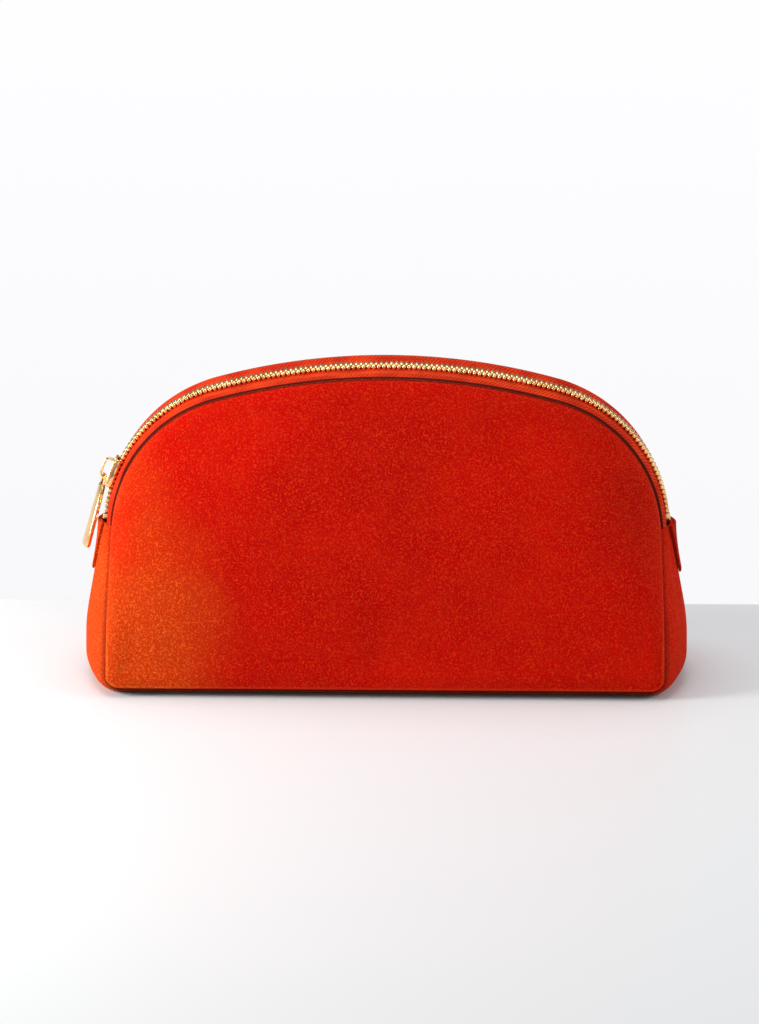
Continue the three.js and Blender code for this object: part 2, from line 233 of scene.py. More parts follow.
def baseSkin(u, v):  # the underside, a little longer than the gussets' feet
    across = 2 * v - 1
    y = across * (body["baseHalfDepth"] - gussetEdge)
    radius = gussetCorner(across)
    end = gussetX(baseRise(y) + radius, across) - radius + baseOverlap
    return Vector(((1 - 2 * u) * end, y, baseRise(y)))


tape = {
    "edge": 0.6 * mm,
    "pastEnds": 1.5 * mm,
    "level": -0.9 * mm,
    "lean": 0.2,
    "flatBy": 2 * mm,
    "roll": {"height": 1.1 * mm, "at": 0.66, "width": 0.2},
    "valley": {"height": 0.25 * mm, "at": 0.30, "width": 0.12},
    "gutter": {"height": 1.6 * mm, "from": 0.84},
    "thickness": 0.6 * mm,
}


def hump(fall, at, width):  # 1 at one share of the way to the seam, dying away on both sides
    return math.exp(-((fall - at) / width) ** 2)


def tapeSkin(side):  # zip tape from the teeth to the seam: a valley, a soft roll and a gutter
    edge = tape["edge"]
    roll, valley, gutter = tape["roll"], tape["valley"], tape["gutter"]

    def point(u, v):
        along = (2 * u - 1) * (zipHalfLength + tape["pastEnds"])
        inner = edge + spread(along)
        reach = lerp(inner, body["zipHalfDepth"] - 0.2 * mm, side * (v - 0.5) + 0.5)
        fall = max((reach - edge) / (body["zipHalfDepth"] - edge), 0)
        beside = smooth((reach - inner) / tape["flatBy"])
        rolled = roll["height"] * (hump(fall, roll["at"], roll["width"]) * beside)
        sunk = valley["height"] * (hump(fall, valley["at"], valley["width"]) * beside)
        turnedDown = gutter["height"] * smooth((fall - gutter["from"]) / (1 - gutter["from"]))
        level = tape["level"] + (rolled - sunk - turnedDown)
        level += side * reach * lean(along) * (1 - fall)
        return onZip(along, side * reach, level - (seamDrop(along, side) + tape["level"]) * fall ** 2)
    return point


def normalOf(skin, u, v):  # kept off the very edge, where a skin's corner can turn straight down
    step = 1e-4
    u = clamp(u, 0.006, 0.994)
    v = clamp(v, 0.004, 0.996)
    alongU = skin(u + step, v) - skin(u - step, v)
    alongV = skin(u, v + step) - skin(u, v - step)
    return alongU.cross(alongV).normalized()


def spaced(t, crowd):  # crowds a grid's lines towards its edges
    return lerp(t, 0.5 - 0.5 * math.cos(math.pi * t), crowd)


def lineLength(points):
    return sum((after - before).length for before, after in zip(points, points[1:]))


def cutSize(skin):  # width and length of the cloth that covers a skin, measured on the skin
    shares = [i / 40 for i in range(41)]
    lines = (0.02, 0.25, 0.5, 0.75, 0.98)
    across = [lineLength([skin(share, line) for share in shares]) for line in lines]
    upward = [lineLength([skin(line, share) for share in shares]) for line in lines]
    return max(across), max(upward)


# A grid laid on a skin. detail moves its points, and the last function gives each point painted seam shade
# (up to 1) or marks the ridge or roll beside a seam (down to -1).
def clothGrid(name, skin, columns, rows, crowd=(0.0, 0.0), off=0.0, detail=None, shadeAndRidge=None):
    bm = bmesh.new()
    bmesh.ops.create_grid(bm, x_segments=columns, y_segments=rows, size=0.5)
    uvLayer = bm.loops.layers.uv.new("cloth")  # in metres of cloth
    seamShadeAndRidge = bm.verts.layers.float.new("seamShadeAndRidge")  # 1 where shade is painted into a seam, -1 on the ridge or roll beside it
    width, length = cutSize(skin)
    spots = {}
    for vert in bm.verts:
        u = spaced(clamp(vert.co.x + 0.5), crowd[0])
        v = spaced(clamp(vert.co.y + 0.5), crowd[1])
        spots[vert] = (u, v)
    for face in bm.faces:
        for loop in face.loops:
            loop[uvLayer].uv = (spots[loop.vert][0] * width, spots[loop.vert][1] * length)
    for vert, (u, v) in spots.items():
        point = skin(u, v)
        vert[seamShadeAndRidge] = shadeAndRidge(u, v, point) if shadeAndRidge else 0.0
        normal = normalOf(skin, u, v)
        vert.co = point + normal * off + (detail(u, v, point, normal) if detail else Vector())
    return objectFrom(bm, name)


def thicken(piece, thickness, offset=-1.0):
    wall = piece.modifiers.new("wall", "SOLIDIFY")
    wall.thickness = thickness
    wall.offset = offset
    wall.use_even_offset = False


def cloth(piece, skin, owner, replaced):
    width, length = cutSize(skin)
    place(piece, owner, replaced)


def place(piece, owner, replaced):
    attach(piece, owner)
    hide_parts(replaced)


def closed(bm):
    bmesh.ops.remove_doubles(bm, verts=bm.verts, dist=0.002 * mm)
    bmesh.ops.recalc_face_normals(bm, faces=bm.faces)


def objectFrom(bm, name, flat=False):
    mesh = bpy.data.meshes.new(name)
    bm.to_mesh(mesh)
    bm.free()
    piece = bpy.data.objects.new(name, mesh)
    bpy.context.scene.collection.objects.link(piece)
    for polygon in mesh.polygons:
        polygon.use_smooth = not flat
    return piece


print("materials")


def newMaterial(name, roughness, metallic=0.0):
    material = bpy.data.materials.new(name)
    material.use_nodes = True
    shader = material.node_tree.nodes["Principled BSDF"]
    shader.inputs["Roughness"].default_value = roughness
    shader.inputs["Metallic"].default_value = metallic
    return material, shader


class Tree:  # short ways to add and join a material's nodes
    def __init__(self, material):
        self.nodes = material.node_tree.nodes
        self.links = material.node_tree.links

    def add(self, kind, inputs=None, **settings):
        node = self.nodes.new(kind)
        for key, value in settings.items():
            setattr(node, key, value)
        for key, value in (inputs or {}).items():
            if isinstance(value, bpy.types.NodeSocket):
                self.links.new(value, node.inputs[key])
            else:
                node.inputs[key].default_value = value
        return node

    def noiseOf(self, where, scale, detail=2.0, roughness=0.5, distortion=0.0):
        inputs = {"Vector": where, "Scale": scale, "Detail": detail, "Roughness": roughness,
                  "Distortion": distortion}
        return self.add("ShaderNodeTexNoise", inputs).outputs["Fac"]

    def between(self, value, low, high, toLow=0.0, toHigh=1.0):
        inputs = {"Value": value, "From Min": low, "From Max": high, "To Min": toLow, "To Max": toHigh}
        return self.add("ShaderNodeMapRange", inputs, interpolation_type="SMOOTHSTEP").outputs[0]

    def sumOf(self, operation, a, b=0.0):
        return self.add("ShaderNodeMath", {0: a, 1: b}, operation=operation).outputs[0]

    def mixed(self, share, a, b):
        node = self.nodes.new("ShaderNodeMix")
        node.data_type = "RGBA"
        for key, value in ((0, share), (6, a), (7, b)):
            if isinstance(value, bpy.types.NodeSocket):
                self.links.new(value, node.inputs[key])
            elif key:
                node.inputs[key].default_value = (*value, 1)
            else:
                node.inputs[key].default_value = value
        return node.outputs[2]

    def bumped(self, shader, height, strength, distance):
        node = self.add("ShaderNodeBump", {"Height": height, "Strength": strength, "Distance": distance})
        self.links.new(node.outputs[0], shader.inputs["Normal"])


velvetLook = {
    "roughness": 0.95,
    "specular": 0.05,
    # painted shade: the dark colour laid into the seams and beside them
    "paintedSeamShade": (0.10, 0.002, 0.0008),
    "deep": (0.38, 0.0002, 0.0001),
    "bright": (0.62, 0.0015, 0.0002),
    # painted light: the lighter, more orange colours of the left end, where the key light falls
    "litLeftColour": (0.53, 0.036, 0.002),
    "litLeftFleck": (0.98, 0.165, 0.016),
    "fleck": (1.0, 0.066, 0.006),
    "patchScale": 14.0,
    "brushScale": 60.0,
    "pileScale": 1500.0,
    "curlScale": 900.0,
    "fleckShare": 0.42,
    # painted light: extra flecks at the left end, where that lit end begins and how far its edge wanders
    "litLeftFleckShare": 0.28,
    "litLeftFrom": -66 * mm,
    "litLeftTo": -118 * mm,
    "litLeftWander": 50 * mm,
    "relief": 0.45 * mm,
    "sheen": 0.28,
    "sheenRoughness": 0.35,
    "sheenTint": (1.0, 0.24, 0.06),
}


def giveSheen(shader, look):
    shader.inputs["Specular IOR Level"].default_value = look["specular"]
    shader.inputs["Sheen Weight"].default_value = look["sheen"]
    shader.inputs["Sheen Roughness"].default_value = look["sheenRoughness"]
    shader.inputs["Sheen Tint"].default_value = (*look["sheenTint"], 1)


def velvetMaterial(name, shadeFactor=1.0):  # painted light: lighter and more orange, at the left end, where the key light falls
    look = velvetLook
    material, shader = newMaterial(name, look["roughness"])
    giveSheen(shader, look)
    tree = Tree(material)
    where = tree.add("ShaderNodeTexCoord").outputs["Object"]
    patch = tree.between(tree.noiseOf(where, look["patchScale"], 2.0, 0.5, 0.3), 0.3, 0.7)
    brushed = tree.between(tree.noiseOf(where, look["brushScale"], 3.0, 0.6), 0.3, 0.7)
    nap = tree.sumOf("ADD", tree.sumOf("MULTIPLY", patch, 0.45), tree.sumOf("MULTIPLY", brushed, 0.3))
    colour = tree.mixed(nap, tuple(shadeFactor * value for value in look["deep"]),
                        tuple(shadeFactor * value for value in look["bright"]))
    # painted light: the left end is mixed towards lighter, more orange colours
    across = tree.add("ShaderNodeSeparateXYZ", {"Vector": where}).outputs["X"]
    wander = tree.sumOf("MULTIPLY", tree.sumOf("SUBTRACT", patch, 0.5), look["litLeftWander"])
    paintedLeftLight = tree.between(tree.sumOf("ADD", across, wander), look["litLeftTo"], look["litLeftFrom"], 1.0, 0.0)
    colour = tree.mixed(tree.sumOf("MULTIPLY", paintedLeftLight, 0.8), colour, look["litLeftColour"])
    pile = tree.between(tree.noiseOf(where, look["pileScale"], 1.0, 0.5, 0.6), 0.46, 0.66)
    curl = tree.noiseOf(where, look["curlScale"], 1.0, 0.5, 2.2)
    hair = tree.between(tree.sumOf("ABSOLUTE", tree.sumOf("SUBTRACT", curl, 0.5)), 0.0, 0.025, 1.0, 0.0)
    hair = tree.sumOf("MULTIPLY", hair, tree.between(brushed, 0.2, 0.8))
    seamShadeOrRidge = tree.add("ShaderNodeAttribute", attribute_name="seamShadeAndRidge").outputs["Fac"]
    speck = tree.sumOf("MAXIMUM", tree.sumOf("MULTIPLY", pile, 0.75), tree.sumOf("MULTIPLY", hair, 0.8))
    # painted highlight: the ridge beside a seam is mixed towards the fleck colour
    ridgeHighlight = tree.between(seamShadeOrRidge, -0.8, 0.0, 0.28, 0.0)
    # more flecks where the left end is painted as lit
    fleckShareWithLeftLight = tree.sumOf("ADD", tree.sumOf("MULTIPLY", paintedLeftLight, look["litLeftFleckShare"]), look["fleckShare"])
    share = tree.sumOf("ADD", tree.sumOf("MULTIPLY", speck, fleckShareWithLeftLight), ridgeHighlight)
    colour = tree.mixed(share, colour, tree.mixed(paintedLeftLight, look["fleck"], look["litLeftFleck"]))
    # painted shade: seams and the strips beside them darken towards the shade colour
    colour = tree.mixed(tree.between(seamShadeOrRidge, 0.05, 0.9), colour, look["paintedSeamShade"])
    tree.links.new(colour, shader.inputs["Base Color"])
    tree.bumped(shader, tree.sumOf("ADD", pile, hair), 0.7, look["relief"])
    return material


tapeLook = {
    "roughness": 0.85,
    "specular": 0.08,
    "sheen": 0.2,
    "sheenRoughness": 0.4,
    "sheenTint": (1.0, 0.3, 0.08),
    "plain": (0.90, 0.062, 0.006),
    "dark": (0.34, 0.006, 0.001),
    # painted shade: the dark colour in the seam at the tape's far edge
    "seam": (0.06, 0.002, 0.001),
    "thread": 1.3 * mm,
    "rib": 0.9 * mm,
    "slant": math.radians(35),
    "relief": 0.3 * mm,
}
waveShare = 0.31  # a wave texture's scale for bands one unit apart


def tapeMaterial():  # UV is in metres: u runs along the tape, v from its front edge to its back edge
    look = tapeLook
    material, shader = newMaterial("wovenTape", look["roughness"])
    giveSheen(shader, look)
    tree = Tree(material)
    where = tree.add("ShaderNodeTexCoord").outputs["UV"]
    turned = tree.add("ShaderNodeMapping", {"Vector": where, "Rotation": (0, 0, look["slant"])}).outputs[0]
    twill = tree.add("ShaderNodeTexWave", {"Vector": turned, "Scale": waveShare / look["thread"],
                                           "Distortion": 2.0, "Detail": 2.0}).outputs["Fac"]
    ribs = tree.add("ShaderNodeTexWave", {"Vector": where, "Scale": waveShare / look["rib"],
                                          "Distortion": 0.6}, bands_direction="Y").outputs["Fac"]
    fuzz = tree.noiseOf(where, 900.0, 3.0, 0.7)
    worn = tree.between(tree.noiseOf(where, 90.0, 3.0), 0.3, 0.7)
    seamShadeOrRidge = tree.add("ShaderNodeAttribute", attribute_name="seamShadeAndRidge").outputs["Fac"]
    rolled = tree.between(seamShadeOrRidge, -0.9, -0.1, 1.0, 0.0)  # the fuzzy roll beside the seam
    twillShare = tree.sumOf("MULTIPLY", twill, tree.between(rolled, 0.0, 1.0, 0.35, 0.9))
    weave = tree.sumOf("ADD", twillShare, tree.sumOf("MULTIPLY", ribs, 0.35))
    share = tree.sumOf("ADD", tree.sumOf("MULTIPLY", weave, 0.6), tree.sumOf("MULTIPLY", worn, 0.3))
    share = tree.sumOf("SUBTRACT", share, tree.sumOf("MULTIPLY", rolled, 0.25))
    colour = tree.mixed(tree.between(share, 0.0, 1.0), look["dark"], look["plain"])
    # painted shade in the seam
    colour = tree.mixed(tree.between(seamShadeOrRidge, 0.1, 0.9), colour, look["seam"])
    tree.links.new(colour, shader.inputs["Base Color"])
    height = tree.sumOf("ADD", weave, tree.sumOf("MULTIPLY", fuzz, 0.6))
    tree.bumped(shader, height, 0.7, look["relief"])
    return material


def goldMaterial():  # polished plating, slightly duller where it is handled
    material, shader = newMaterial("lightGold", 0.2, 1.0)
    tree = Tree(material)
    where = tree.add("ShaderNodeTexCoord").outputs["Object"]
    cloud = tree.noiseOf(where, 160.0, 3.0, 0.6)
    scratch = tree.noiseOf(where, 1500.0, 2.0, 0.5)
    colour = tree.mixed(tree.between(cloud, 0.3, 0.7), (0.86, 0.50, 0.19), (0.97, 0.68, 0.33))
    tree.links.new(colour, shader.inputs["Base Color"])
    tree.links.new(tree.between(cloud, 0.3, 0.75, 0.14, 0.30), shader.inputs["Roughness"])
    tree.bumped(shader, scratch, 0.06, 0.05 * mm)
    return material


def liningMaterial():
    material, shader = newMaterial("satinLining", 0.5)
    shader.inputs["Sheen Weight"].default_value = 0.3
    tree = Tree(material)
    where = tree.add("ShaderNodeTexCoord").outputs["UV"]
    warp = tree.add("ShaderNodeTexWave", {"Vector": where, "Scale": 900.0}).outputs["Fac"]
    weft = tree.add("ShaderNodeTexWave", {"Vector": where, "Scale": 900.0},
                    bands_direction="Y").outputs["Fac"]
    weave = tree.sumOf("MULTIPLY", warp, weft)
    colour = tree.mixed(weave, (0.58, 0.30, 0.20), (0.74, 0.42, 0.30))
    tree.links.new(colour, shader.inputs["Base Color"])
    tree.bumped(shader, weave, 0.3, 0.1 * mm)
    return material


def foamMaterial():
    material, shader = newMaterial("openFoam", 0.95)
    tree = Tree(material)
    where = tree.add("ShaderNodeTexCoord").outputs["Object"]
    cells = tree.add("ShaderNodeTexVoronoi", {"Vector": where, "Scale": 1200.0}).outputs["Distance"]
    colour = tree.mixed(tree.between(cells, 0.0, 0.6), (0.62, 0.58, 0.50), (0.86, 0.83, 0.76))
    tree.links.new(colour, shader.inputs["Base Color"])
    tree.bumped(shader, cells, 0.5, 0.3 * mm)
    return material


def boardMaterial():
    material, shader = newMaterial("baseBoard", 0.6)
    tree = Tree(material)
    where = tree.add("ShaderNodeTexCoord").outputs["Object"]
    speckle = tree.noiseOf(where, 500.0, 4.0, 0.7)
    colour = tree.mixed(tree.between(speckle, 0.35, 0.65), (0.62, 0.58, 0.50), (0.72, 0.68, 0.60))
    tree.links.new(colour, shader.inputs["Base Color"])
    tree.bumped(shader, speckle, 0.2, 0.1 * mm)
    return material


velvet = velvetMaterial("velvet")
# a darker copy of the velvet: painted shade on the end tabs
shadedTabVelvet = velvetMaterial("shadedTabVelvet", 0.72)
wovenTape = tapeMaterial()
gold = goldMaterial()
satinLining = liningMaterial()
openFoam = foamMaterial()
stiffBoard = boardMaterial()

print("velvet panels")

panel = {
    "grid": (190, 110),
    "crowd": (0.92, 0.92),
    "seamRoll": 1.6 * mm,
    "swell": {"height": 0.5 * mm, "at": 5 * mm, "width": 4 * mm},
    "calmEdge": 12 * mm,
    "waves": ((26, 0.7 * mm), (70, 0.22 * mm)),
    # painted highlight: where the lightened ridge lies inside a seam, and how strong it is
    "ridgeHighlight": {"share": 0.75, "at": 1.1 * mm, "width": 0.55 * mm},
    # painted shade: how far the dark seam colour reaches in from the top seam and from the others
    "seamShadeTop": 0.75 * mm,
    "seamShadeEdge": 0.4 * mm,
}


def rolledIn(distance, radius):  # how far a turned edge falls away near its seam
    if distance >= radius:
        return 0.0
    part = clamp(1 - distance / radius)
    return -radius * (1 - math.sqrt(1 - part * part))


def soften(point, scale, height):
    return noise.noise(point * scale) * height


def fromSeam(side, u, point):  # how far a point of the panel lies inside its seams
    along = side * (1 - 2 * u) * zipHalfLength
    below = (onZip(along, 0, -seamDrop(along, side)).z - point.z) * math.cos(zipAngle(along))
    fromTop = math.hypot(below, abs(point.y) - body["zipHalfDepth"])
    seamDepth = halfDepth(seamShare(point.z))
    fromSide = math.hypot(sideSeamX(point.z, side) - abs(point.x), abs(point.y) - seamDepth)
    return max(min(fromTop, fromSide, point.z - panelBottom(point.x)), 0)


# painted shade in the panel's seams, and a painted highlight on the ridge just inside them
def panelShadeAndRidge(side):
    ridgeHighlight = panel["ridgeHighlight"]

    def shadeAndRidge(u, v, point):
        edge = fromSeam(side, u, point)
        nearTop = v > 0.9
        reach = panel["seamShadeTop"] if nearTop else panel["seamShadeEdge"]
        raised = ridgeHighlight["share"] * hump(edge, ridgeHighlight["at"], ridgeHighlight["width"])
        return hump(edge, 0, reach) - (0.25 * raised if nearTop else raised)
    return shadeAndRidge


def panelDetail(side):
    swell = panel["swell"]

    def detail(u, v, point, normal):
        edge = fromSeam(side, u, point)
        puffed = swell["height"] * hump(edge, swell["at"], swell["width"])
        waves = sum(soften(point, scale, height) for scale, height in panel["waves"])
        lift = puffed + waves * smooth(edge / panel["calmEdge"])
        return Vector((0, side * rolledIn(edge, panel["seamRoll"]), 0)) + normal * lift
    return detail


def makePanels():
    for side, name in ((-1, "front"), (1, "back")):
        skin = panelSkin(side)
        piece = clothGrid(name + "VelvetPanel", skin, *panel["grid"], panel["crowd"],
                          detail=panelDetail(side), shadeAndRidge=panelShadeAndRidge(side))
        piece.data.materials.append(velvet)
        cloth(piece, skin, "bag", name + "_panel")
        thicken(piece, body["velvet"])


gusset = {
    "grid": (70, 60),
    "crowd": (0.6, 0.2),
    "fold": {"depth": 0.5 * mm, "at": 0.55, "width": 0.12},
    "seamRoll": 2.4 * mm,
    "tuck": 0.55,
    "waves": (40, 0.6 * mm),
    "calmEdge": 6 * mm,
    "velvet": body["velvet"] * 0.8,
}


def gussetDetail(side):
    fold = gusset["fold"]

    def detail(u, v, point, normal):
        share = abs(2 * u - 1)
        edge = (1 - share) * abs(point.y) / share if share > 0.5 else 1.0
        folded = fold["depth"] * hump(share, fold["at"], fold["width"]) * smooth(v * 2)
        dip = side * (rolledIn(edge, gusset["seamRoll"]) * gusset["tuck"] - folded)
        wave = soften(point, *gusset["waves"])
        return Vector((dip, 0, 0)) + normal * wave * smooth(edge / gusset["calmEdge"])
    return detail


def gussetSeamShade(u, v, point):  # painted shade: darkest in the seam and shaded beside it
    inside = 1 - abs(2 * u - 1)
    return 0.6 * hump(inside, 0, 0.013) + 0.55 * hump(inside, 0, 0.11)


# painted shade along the base's front and back edges, under the panels
def baseEdgeShade(u, v, point):
    return smooth((abs(2 * v - 1) - 0.8) / 0.15)


def makeGussets():
    for side, name in ((-1, "left"), (1, "right")):
        skin = gussetSkin(side)
        piece = clothGrid(name + "VelvetGusset", skin, *gusset["grid"], gusset["crowd"],
                          detail=gussetDetail(side), shadeAndRidge=gussetSeamShade)
        piece.data.materials.append(velvet)
        cloth(piece, skin, "bag", name + "_side_gusset")
        thicken(piece, gusset["velvet"])


def makeBase():
    piece = clothGrid("velvetBase", baseSkin, 80, 60, (0.3, 0.6), shadeAndRidge=baseEdgeShade)
    piece.data.materials.append(velvet)
    cloth(piece, baseSkin, "bag", "base_panel")
    thicken(piece, body["velvet"])


makePanels()
makeGussets()
makeBase()

print("padding and lining")

inner = {
    "padFrom": 1.7 * mm,
    "pad": 3.0 * mm,
    "liningFrom": 5.3 * mm,
    "lining": 0.5 * mm,
    "gussetLiningFrom": 1.6 * mm,
    "fill": 0.9,
    "panelPart": (0.05, 0.95, 0.057, 0.943),
    "gussetPart": (0.16, 0.84, cornerShare, 0.92),
    "basePart": (0.05, 0.95, 0.12, 0.88),
}


def partOf(skin, uFrom, uTo, vFrom, vTo):
    def point(u, v):
        return skin(lerp(uFrom, uTo, u), lerp(vFrom, vTo, v))
    return point


def makeLining(name, inside, grid, off, replaced):
    face = clothGrid(name, inside, *grid, off=off)
    thicken(face, inner["lining"])
    face.data.materials.append(satinLining)
    cloth(face, inside, "bag", replaced)


def makeInside():
    for side, name in ((-1, "front"), (1, "back")):
        inside = partOf(panelSkin(side), *inner["panelPart"])
        pad = clothGrid(name + "Padding", inside, 40, 24, off=-inner["padFrom"])
        thicken(pad, inner["pad"])
        pad.data.materials.append(openFoam)
        place(pad, "bag", name + "_foam")
        makeLining(name + "Lining", inside, (60, 36), -inner["liningFrom"],
                   name + "_lining")
    for side, name in ((-1, "left"), (1, "right")):
        inside = partOf(gussetSkin(side), *inner["gussetPart"])
        makeLining(name + "SideLining", inside, (24, 30), -inner["gussetLiningFrom"],
                   name + "_side_lining")
    inside = partOf(baseSkin, *inner["basePart"])
    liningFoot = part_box("base_lining")[0].z
    makeLining("baseLining", inside, (40, 20), -liningFoot, "base_lining")
    boardNode = frame["nodes"]["base_board"]
    boardNode.data.materials.clear()
    boardNode.data.materials.append(stiffBoard)


makeInside()

print("zip")

zipParts = {
    "pitch": 2.0 * mm,
    "rowFrom": -zipHalfLength + 2.6 * mm,
    "rootHalf": 0.62 * mm,
    "headHalf": 0.46 * mm,
    "rootOuter": 2.4 * mm,
    "shoulder": 0.6 * mm,
    "tip": 0.8 * mm,
    "halfHeight": toothHalf,
}
toothCount = int((2 * zipHalfLength - 6.2 * mm) / zipParts["pitch"])


def tapeSeamShade(side):  # painted shade: 1 in the seam, -1 on the fuzzy roll beside it
    def shadeAndRidge(u, v, point):
        fall = side * (v - 0.5) + 0.5
        return smooth((fall - 0.79) / 0.10) - 0.8 * hump(fall, 0.68, 0.14)
    return shadeAndRidge


def makeTapes():
    for side, name in ((-1, "front"), (1, "back")):
        skin = tapeSkin(side)
        piece = clothGrid(name + "Tape", skin, 320, 30, (0.0, 0.2), shadeAndRidge=tapeSeamShade(side))
        piece.data.materials.append(wovenTape)
        cloth(piece, skin, "bag", name + "_zip_tape")
        thicken(piece, tape["thickness"])


def toothShape(bm):  # one tooth, root towards -Y, head across the centre line
    part = zipParts
    bmesh.ops.create_cube(bm, size=2)
    length = part["rootOuter"] - part["shoulder"]
    bmesh.ops.scale(bm, vec=(part["rootHalf"], length / 2, part["halfHeight"]), verts=bm.verts)
    bmesh.ops.translate(bm, vec=(0, -part["shoulder"] - length / 2, 0), verts=bm.verts)
    front = max(bm.faces, key=lambda face: face.calc_center_median().y)
    grown = bmesh.ops.extrude_discrete_faces(bm, faces=[front])["faces"][0]
    reach = part["shoulder"] + part["tip"]
    narrow = part["headHalf"] / part["rootHalf"]
    bmesh.ops.translate(bm, vec=(0, reach, 0), verts=grown.verts)
    bmesh.ops.scale(bm, vec=(narrow, 1, 0.86), verts=grown.verts)
    edges = [edge for edge in bm.edges if edge.is_manifold and edge.calc_face_angle() > 0.6]
    bmesh.ops.bevel(bm, geom=edges, offset=0.2 * mm, offset_type="OFFSET", segments=1, profile=0.5,
                    affect="EDGES", material=-1)


def makeTeeth():
    template = bmesh.new()
    toothShape(template)
    shape = bpy.data.meshes.new("tooth")
    template.to_mesh(shape)
    template.free()
    for side, name in ((-1, "front"), (1, "back")):
        bm = bmesh.new()
        for index in range(toothCount):
            start = len(bm.verts)
            bm.from_mesh(shape)
            bm.verts.ensure_lookup_table()
            middle = zipParts["rowFrom"] + (index + (0.75 if side < 0 else 0.25)) * zipParts["pitch"]
            for vert in bm.verts[start:]:
                aside = side * (spread(middle) - vert.co.y)
                vert.co = onZip(middle + vert.co.x, aside, vert.co.z + aside * lean(middle))
        closed(bm)
        piece = objectFrom(bm, name + "Teeth")
        piece.data.materials.append(gold)
        place(piece, "bag", name + "_zip_teeth")
    bpy.data.meshes.remove(shape)


def makeStop(name, fromAlong, toAlong, sides, high, replaced):
    bm = bmesh.new()
    bmesh.ops.create_cube(bm, size=1)
    bmesh.ops.subdivide_edges(bm, edges=bm.edges, cuts=1, use_grid_fill=True)
    length = toAlong - fromAlong
    left, right = sides
    bmesh.ops.scale(bm, vec=(length, right - left, high + zipParts["halfHeight"]), verts=bm.verts)
    middle = (0, (left + right) / 2, (high - zipParts["halfHeight"]) / 2)
    bmesh.ops.translate(bm, vec=middle, verts=bm.verts)
    edges = [edge for edge in bm.edges if edge.calc_face_angle() > 0.6]
    bmesh.ops.bevel(bm, geom=edges, offset=0.35 * mm, offset_type="OFFSET", segments=3, profile=0.5,
                    affect="EDGES", material=-1)
    for vert in bm.verts:
        vert.co = onZip((fromAlong + toAlong) / 2 + vert.co.x, vert.co.y, vert.co.z)
    closed(bm)
    piece = objectFrom(bm, name)
    piece.data.materials.append(gold)
    place(piece, "bag", replaced)


def makeStops():
    root = zipParts["rootOuter"]
    end = -zipHalfLength
    far = end + 2 * mm
    aside = spread(end)
    makeStop("frontTopStop", end, far, (-aside - root, -aside - 0.6 * mm), 1.2 * mm, "front_top_stop")
    makeStop("backTopStop", end, far, (aside + 0.6 * mm, aside + root), 1.2 * mm, "back_top_stop")
    start = zipParts["rowFrom"] + toothCount * zipParts["pitch"] + 0.6 * mm
    makeStop("bottomStop", start, start + 3 * mm, (-root, root), 1.2 * mm, "bottom_stop")


makeTapes()
makeTeeth()
makeStops()

print("slider and pull")

sliderAt = onZip(sliderAlong, 0, 0)
outward = (onZip(sliderAlong, 0, 1 * mm) - sliderAt).normalized()
upTheZip = Vector((0, 1, 0)).cross(outward)
sliderFrame = Matrix((upTheZip, Vector((0, 1, 0)), outward)).transposed().to_4x4()
sliderFrame.translation = sliderAt


def sliderHalfWidth(x):  # x runs from the open end to the closed end
    half = slider["length"] / 2
    wide = smooth((half - 1 * mm - x) / (half + 1 * mm))
    return lerp(slider["narrow"], slider["wide"], wide)


def slab(bm, outline, low, high, bevel, segments=2):  # a plate of any outline, with eased edges
    verts = [bm.verts.new((x, y, low)) for x, y in outline]
    face = bm.faces.new(verts)
    made = bmesh.ops.extrude_face_region(bm, geom=[face])["geom"]
    raised = [item for item in made if isinstance(item, bmesh.types.BMVert)]
    bmesh.ops.translate(bm, vec=(0, 0, high - low), verts=raised)
    every = set(verts + raised)
    own = [edge for edge in bm.edges if set(edge.verts) <= every]
    edges = [edge for edge in own if abs(edge.verts[0].co.z - edge.verts[1].co.z) < 1e-7]
    bmesh.ops.bevel(bm, geom=edges, offset=bevel, offset_type="OFFSET", segments=segments, profile=0.5,
                    affect="EDGES", material=-1, clamp_overlap=True)


def sliderOutline(inset=0.0):
    half = slider["length"] / 2 - inset
    steps = 14
    rightSide = []
    for i in range(steps + 1):
        x = -half + 2 * half * i / steps
        fromEnd = min(i, steps - i) / steps * 2 * half
        corner = 1.6 * mm
        cut = corner - math.sqrt(max(corner ** 2 - max(corner - fromEnd, 0) ** 2, 0))
        rightSide.append((x, sliderHalfWidth(x) - inset - cut))
    return rightSide + [(x, -y) for x, y in reversed(rightSide)]


def flangeOutline(side):
    half = slider["length"] / 2 - 0.3 * mm
    steps = 10
    xs = [-half + 2 * half * i / steps for i in range(steps + 1)]
    outer = [(x, side * (sliderHalfWidth(x) - 0.1 * mm)) for x in xs]
    inside = [(x, side * (sliderHalfWidth(x) - slider["wall"])) for x in reversed(xs)]
    return outer + inside


def sweepStrip(bm, path, halfWidth, halfThick):  # a strip of rounded section, closed at its ends
    rings = []
    for i, (x, z) in enumerate(path):
        before = path[max(i - 1, 0)]
        after = path[min(i + 1, len(path) - 1)]
        ahead = Vector((after[0] - before[0], 0, after[1] - before[1])).normalized()
        across = Vector((0, 1, 0))
        up = ahead.cross(across)
        made = bmesh.ops.create_circle(bm, cap_ends=False, segments=16, radius=1)["verts"]
        for vert in made:
            a, b = vert.co.x, vert.co.y
            a = math.copysign(abs(a) ** 0.5, a) * halfWidth
            b = math.copysign(abs(b) ** 0.6, b) * halfThick
            vert.co = Vector((x, 0, z)) + across * a + up * b
        rings.append(made)
    for first, second in zip(rings, rings[1:]):
        loops = [edge for ring in (first, second) for edge in ringEdges(ring)]
        bmesh.ops.bridge_loops(bm, edges=loops)
    for ring in (rings[0], rings[-1]):
        bmesh.ops.contextual_create(bm, geom=ringEdges(ring))


